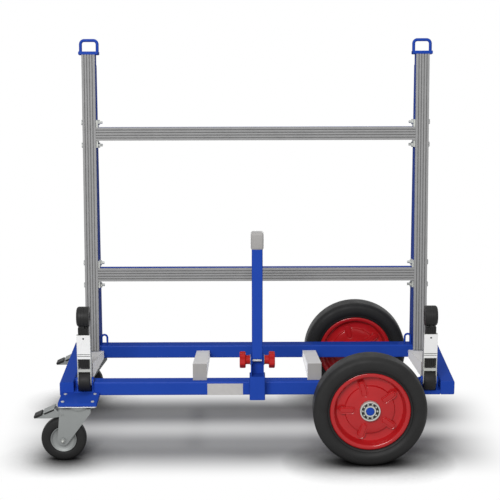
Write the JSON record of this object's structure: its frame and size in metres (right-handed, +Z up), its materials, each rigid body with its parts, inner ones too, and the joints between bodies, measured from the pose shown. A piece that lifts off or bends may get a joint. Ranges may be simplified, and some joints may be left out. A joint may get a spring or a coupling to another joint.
{
  "type": "slab buggy",
  "caption": "blue slab buggy with leaning ribbed A-frame, red-rimmed fixed wheels, braked swivel castors, hinged post and folding roller arms",
  "frame": {"origin": "on the floor, under the centre of the whole object's bounding box", "axes": "+X runs along the buggy from the swivel castors to the large wheels, +Y points from the loading side to the back of the A-frame, +Z is up"},
  "size_m": [1.495, 0.78, 1.4355],
  "materials": {
    "blue_paint": "semi-gloss blue paint on welded steel tube",
    "red_paint": "gloss red paint on pressed steel",
    "red_plastic": "moulded red plastic",
    "grey_rubber": "ribbed grey rubber",
    "pale_rubber": "smooth pale grey rubber",
    "black_rubber": "matt black rubber",
    "zinc": "dull zinc plate on steel",
    "bright_zinc": "bright zinc plate on steel"
  },
  "bodies": {
    "base": {"front_rail": "blue_paint", "rear_rail": "blue_paint", "left_end_beam": "blue_paint", "right_end_beam": "blue_paint", "wheel_axle": "blue_paint", "front_castor_plate": "blue_paint", "rear_castor_plate": "blue_paint", "left_upright": "blue_paint", "right_upright": "blue_paint", "left_handle": "blue_paint", "right_handle": "blue_paint", "lower_crossbar": "blue_paint", "upper_crossbar": "blue_paint", "left_rear_brace": "blue_paint", "right_rear_brace": "blue_paint", "left_hook": "blue_paint", "right_hook": "blue_paint", "right_corner_pocket": "blue_paint", "post_bracket": "blue_paint", "left_upright_facing": "grey_rubber", "right_upright_facing": "grey_rubber", "lower_crossbar_facing": "grey_rubber", "upper_crossbar_facing": "grey_rubber", "left_outer_support": "pale_rubber", "left_inner_support": "pale_rubber", "right_inner_support": "pale_rubber", "right_outer_support": "pale_rubber", "clamp_rod": "bright_zinc", "lower_left_flange": "zinc", "lower_right_flange": "zinc", "upper_left_flange": "zinc", "upper_right_flange": "zinc", "front_castor_top": "zinc", "rear_castor_top": "zinc"},
    "front_wheel": {"front_tyre": "black_rubber", "front_rim": "red_paint", "front_hub": "zinc"},
    "rear_wheel": {"rear_tyre": "black_rubber", "rear_rim": "red_paint", "rear_hub": "zinc"},
    "front_swivel": {"front_castor_fork": "zinc"},
    "rear_swivel": {"rear_castor_fork": "zinc"},
    "front_castor_wheel": {"front_castor_tyre": "black_rubber", "front_castor_hub": "zinc"},
    "rear_castor_wheel": {"rear_castor_tyre": "black_rubber", "rear_castor_hub": "zinc"},
    "front_pedal": {"front_castor_pedal": "black_rubber"},
    "rear_pedal": {"rear_castor_pedal": "black_rubber"},
    "stake": {"post": "blue_paint", "post_cap": "pale_rubber"},
    "left_clamp": {"left_knob": "red_plastic"},
    "right_clamp": {"right_knob": "red_plastic"},
    "left_arm": {"left_arm_frame": "bright_zinc", "left_arm_bar": "black_rubber"},
    "right_arm": {"right_arm_frame": "bright_zinc", "right_arm_bar": "black_rubber"},
    "left_guide_roller": {"left_top_roller": "black_rubber"},
    "right_guide_roller": {"right_top_roller": "black_rubber"},
    "left_load_roller": {"left_bottom_roller": "black_rubber"},
    "right_load_roller": {"right_bottom_roller": "black_rubber"}
  },
  "joints": [
    {"name": "front_wheel_spin", "type": "hinge", "parent": "base", "child": "front_wheel", "pos_m": [0.4355, -0.343, 0.2], "axis": [0, 1, 0], "continuous": true},
    {"name": "front_castor_swivel", "type": "hinge", "parent": "base", "child": "front_swivel", "pos_m": [-0.5875, -0.3, 0.196], "axis": [0, 0, 1], "continuous": true},
    {"name": "front_castor_spin", "type": "hinge", "parent": "front_swivel", "child": "front_castor_wheel", "pos_m": [-0.6445, -0.3, 0.08], "axis": [0, 1, 0], "continuous": true},
    {"name": "front_pedal_press", "type": "hinge", "parent": "front_swivel", "child": "front_pedal", "pos_m": [-0.6435, -0.3, 0.175], "axis": [0, 1, 0], "range_deg": [-7, 0]},
    {"name": "rear_wheel_spin", "type": "hinge", "parent": "base", "child": "rear_wheel", "pos_m": [0.4355, 0.343, 0.2], "axis": [0, 1, 0], "continuous": true},
    {"name": "rear_castor_swivel", "type": "hinge", "parent": "base", "child": "rear_swivel", "pos_m": [-0.5875, 0.3, 0.196], "axis": [0, 0, 1], "continuous": true},
    {"name": "rear_castor_spin", "type": "hinge", "parent": "rear_swivel", "child": "rear_castor_wheel", "pos_m": [-0.6445, 0.3, 0.08], "axis": [0, 1, 0], "continuous": true},
    {"name": "rear_pedal_press", "type": "hinge", "parent": "rear_swivel", "child": "rear_pedal", "pos_m": [-0.6435, 0.3, 0.175], "axis": [0, 1, 0], "range_deg": [-7, 0]},
    {"name": "stake_tilt", "type": "hinge", "parent": "base", "child": "stake", "pos_m": [0.0425, -0.2673, 0.3566], "axis": [1, 0, 0], "range_deg": [0, 90]},
    {"name": "left_knob_turn", "type": "hinge", "parent": "base", "child": "left_clamp", "pos_m": [0.0425, -0.2673, 0.3566], "axis": [1, 0, 0], "continuous": true},
    {"name": "left_arm_fold", "type": "hinge", "parent": "base", "child": "left_arm", "pos_m": [-0.5715, -0.236, 0.27], "axis": [1, 0, 0], "range_deg": [0, 90]},
    {"name": "left_guide_roll", "type": "hinge", "parent": "left_arm", "child": "left_guide_roller", "pos_m": [-0.5715, -0.236, 0.508], "axis": [1, 0, 0], "continuous": true},
    {"name": "left_load_roll", "type": "hinge", "parent": "left_arm", "child": "left_load_roller", "pos_m": [-0.5715, -0.236, 0.27], "axis": [1, 0, 0], "continuous": true},
    {"name": "right_knob_turn", "type": "hinge", "parent": "base", "child": "right_clamp", "pos_m": [0.0425, -0.2673, 0.3566], "axis": [1, 0, 0], "continuous": true},
    {"name": "right_arm_fold", "type": "hinge", "parent": "base", "child": "right_arm", "pos_m": [0.6565, -0.236, 0.27], "axis": [1, 0, 0], "range_deg": [0, 90]},
    {"name": "right_guide_roll", "type": "hinge", "parent": "right_arm", "child": "right_guide_roller", "pos_m": [0.6565, -0.236, 0.508], "axis": [1, 0, 0], "continuous": true},
    {"name": "right_load_roll", "type": "hinge", "parent": "right_arm", "child": "right_load_roller", "pos_m": [0.6565, -0.236, 0.27], "axis": [1, 0, 0], "continuous": true}
  ]
}
